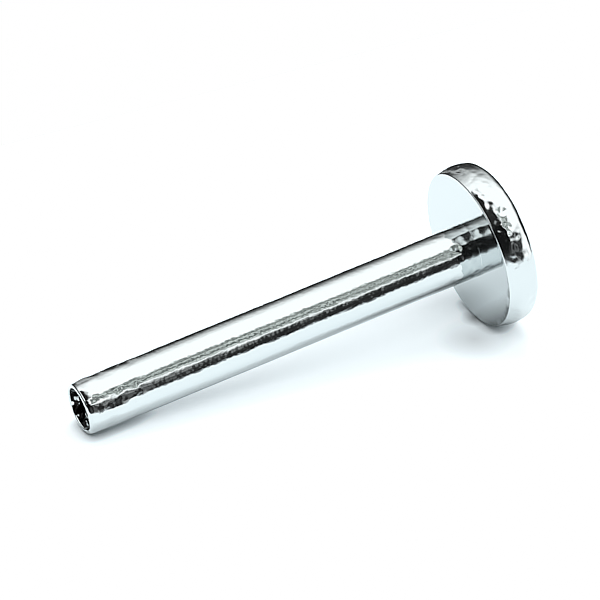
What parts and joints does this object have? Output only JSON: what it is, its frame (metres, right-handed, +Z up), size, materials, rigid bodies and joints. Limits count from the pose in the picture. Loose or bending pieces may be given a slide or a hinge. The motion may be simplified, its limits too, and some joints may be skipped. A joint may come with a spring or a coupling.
{
  "type": "flat-back piercing stud",
  "caption": "Flat-back piercing stud lying at rest: polished round shaft with a flat round disc at one end and a blind, internally threaded mouth at the other.",
  "frame": {"origin": "on the surface that the stud lies on, under the middle of its box", "axes": "+Z up from that surface, +X from the mouth to the disc, and the shaft slopes down to the mouth at -X by 7.4 degrees"},
  "size_m": [0.0106, 0.0036, 0.0037],
  "materials": {
    "polished_steel": "mirror polished by hand, with fine ripples along the shaft and small dings on the disc's rim"
  },
  "bodies": {
    "root": {"flat_back_post": "polished_steel"}
  },
  "joints": []
}
